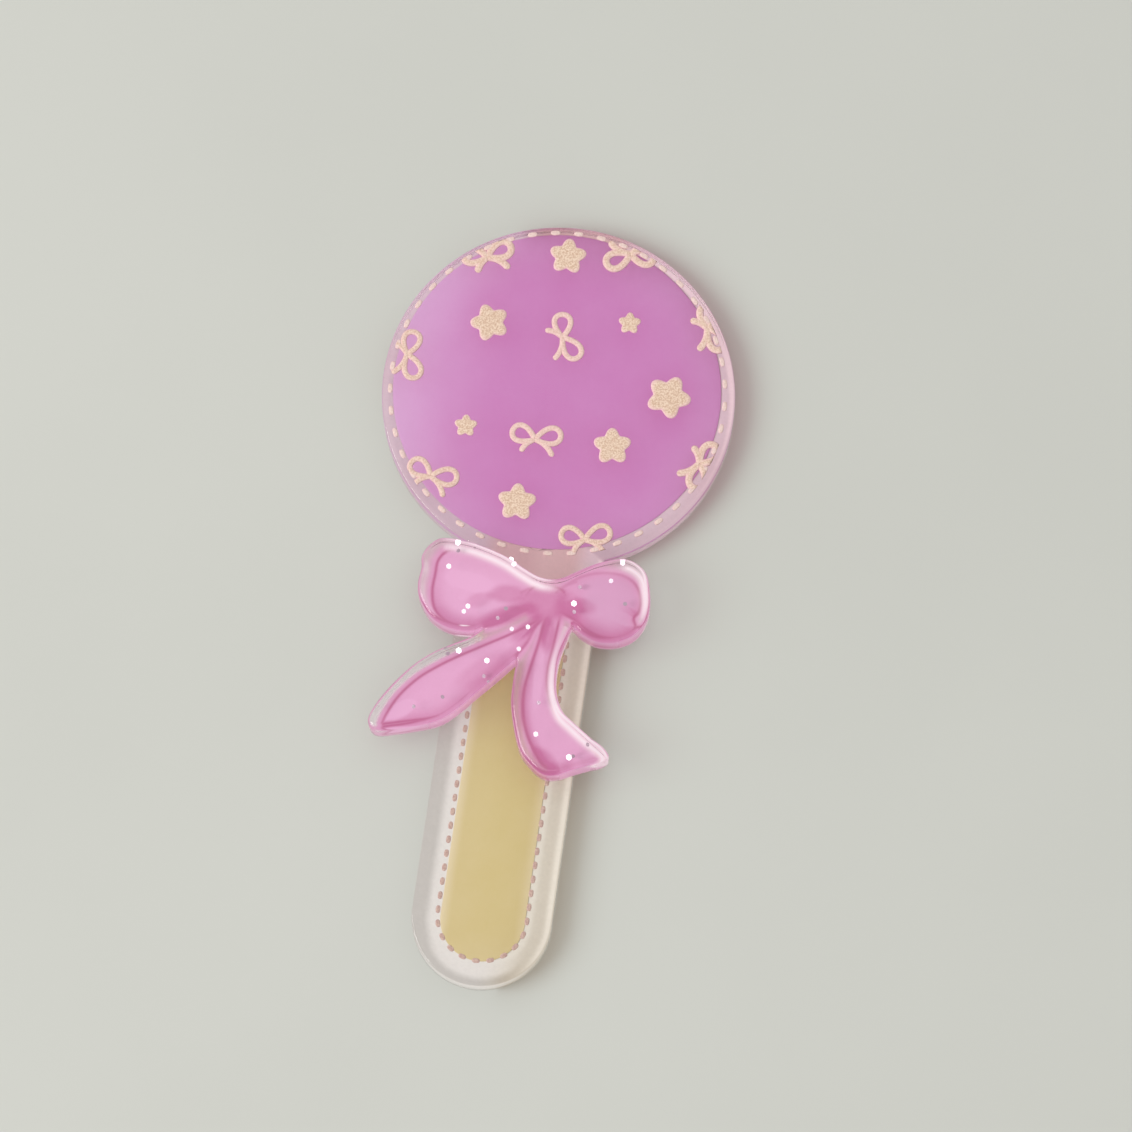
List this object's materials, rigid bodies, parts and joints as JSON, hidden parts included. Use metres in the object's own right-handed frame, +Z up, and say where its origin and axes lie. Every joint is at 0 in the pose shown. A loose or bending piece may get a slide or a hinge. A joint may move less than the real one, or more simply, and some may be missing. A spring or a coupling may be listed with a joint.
{
  "type": "lollipop charm",
  "caption": "Flat clear acrylic lollipop with a purple printed head, a cream yellow strip in its stick and a clear pink ribbon bow glued over the joint.",
  "frame": {"origin": "centre of the bounding box, on the face the charm rests on", "axes": "+X to the right, +Y from the stick towards the head, +Z up out of the printed face"},
  "size_m": [0.027, 0.0594, 0.0045],
  "materials": {
    "clear_acrylic": "clear, polished, with grainy cream and pink print on its face",
    "purple_colour": "printed colour behind clear acrylic",
    "yellow_colour": "printed colour behind clear acrylic",
    "clear_bow_acrylic": "clear, polished, with glitter flecks in it",
    "pink_colour": "printed colour behind clear acrylic"
  },
  "bodies": {
    "root": {"clear_plate": "clear_acrylic", "purple_disc": "purple_colour", "yellow_strip": "yellow_colour", "clear_bow": "clear_bow_acrylic", "pink_bow_layer": "pink_colour"}
  },
  "joints": []
}
